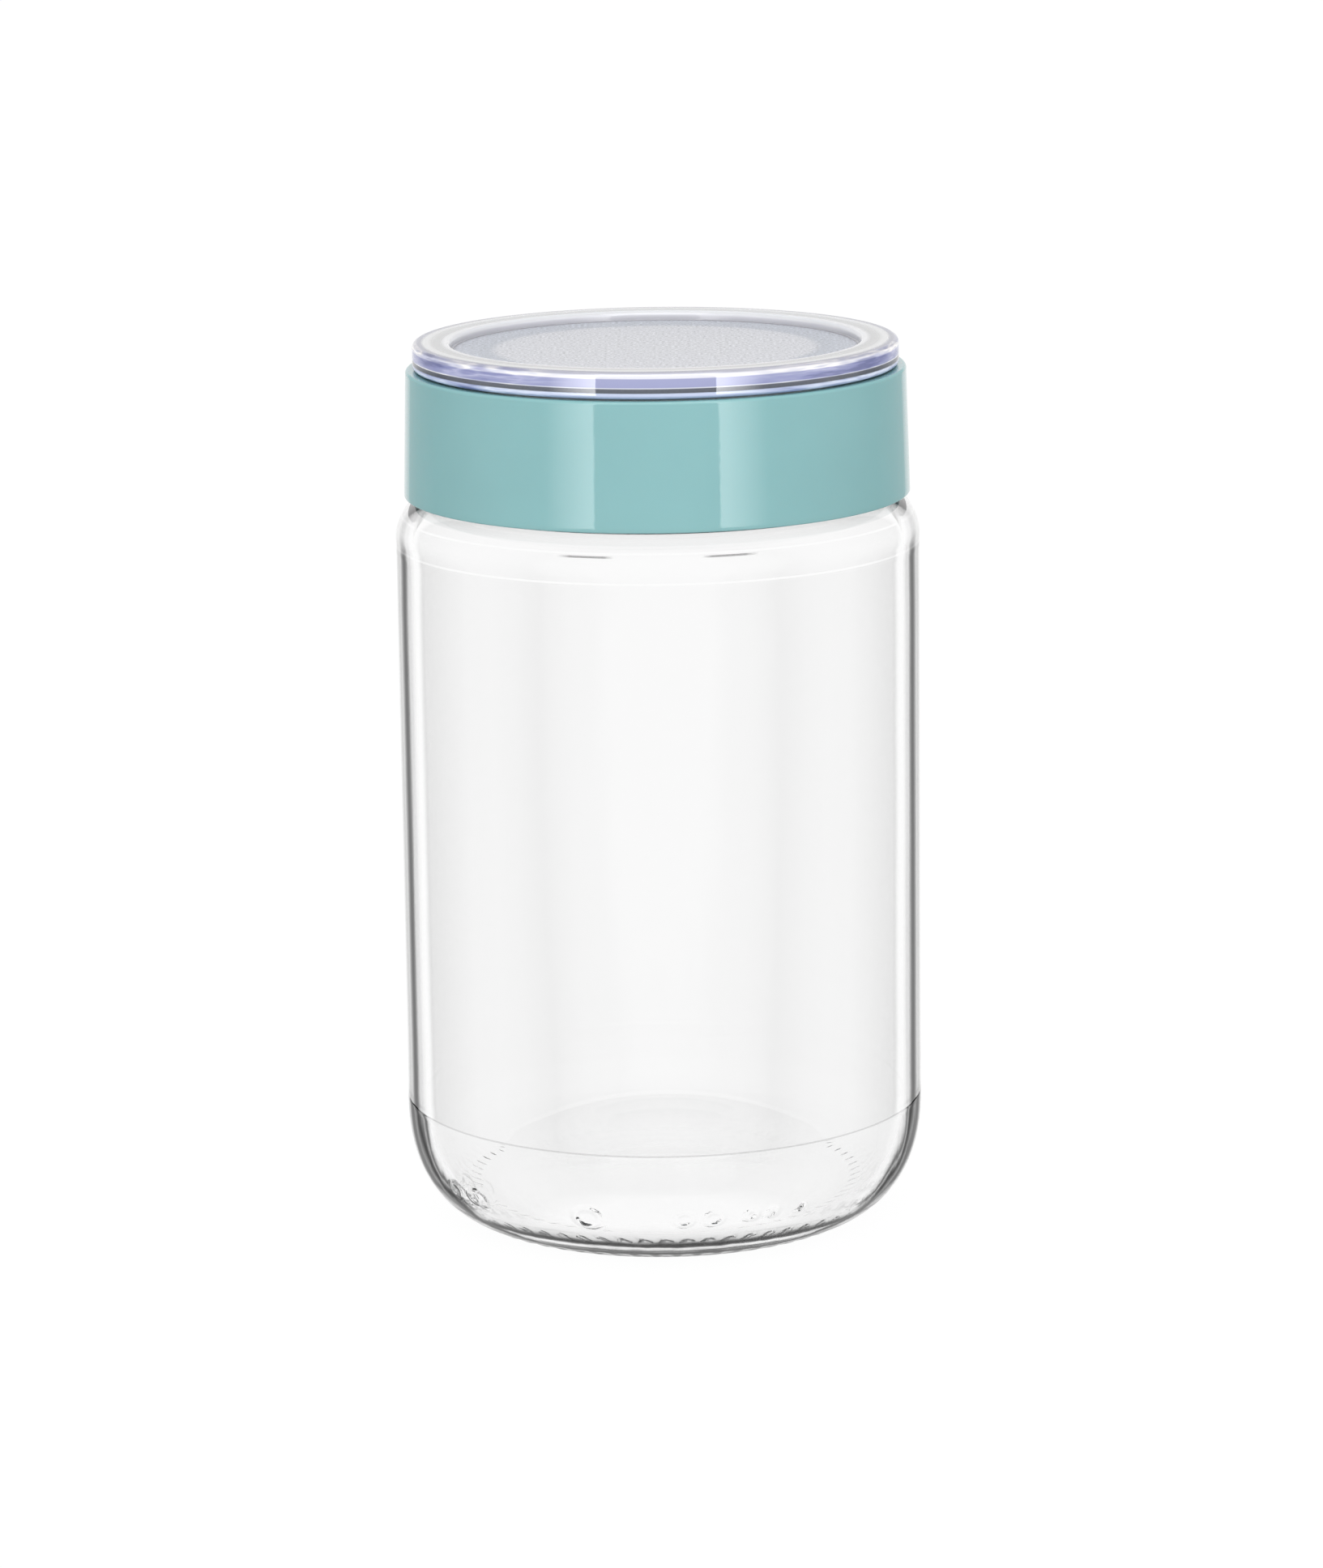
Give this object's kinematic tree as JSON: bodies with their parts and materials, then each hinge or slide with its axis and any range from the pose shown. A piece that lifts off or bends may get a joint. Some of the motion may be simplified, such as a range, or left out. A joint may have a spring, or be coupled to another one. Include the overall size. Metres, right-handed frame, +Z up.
{
  "type": "disinfectant jar",
  "caption": "Clear glass jar with a rounded shoulder and heel, closed by a coloured screw band that carries a clear snap-in window.",
  "frame": {"origin": "centre of the ring the jar stands on, on the table", "axes": "+Z up along the jar's axis of symmetry"},
  "size_m": [0.087, 0.087, 0.1484],
  "materials": {
    "jar_glass": "clear soda-lime glass, fire-polished",
    "band_plastic": "glossy opaque teal injection moulding",
    "window_plastic": "clear polished plastic, faint lavender tint, grained middle",
    "gasket_rubber": "soft matt seal"
  },
  "bodies": {
    "jar": {"glass_jar": "jar_glass"},
    "seal": {"gasket": "gasket_rubber"},
    "lid": {"screw_band": "band_plastic", "window_insert": "window_plastic"}
  },
  "joints": [
    {"name": "lid_rise", "type": "slide", "parent": "jar", "child": "seal", "axis": [0, 0, 1], "range_m": [0, 0.036]},
    {"name": "lid_turn", "type": "hinge", "parent": "seal", "child": "lid", "pos_m": [0, 0, 0.142], "axis": [0, 0, 1], "range_deg": [0, 1080]}
  ],
  "couplings": [
    {"joint": "lid_rise", "follows": "lid_turn", "m_per_rad": 0.0019099}
  ]
}
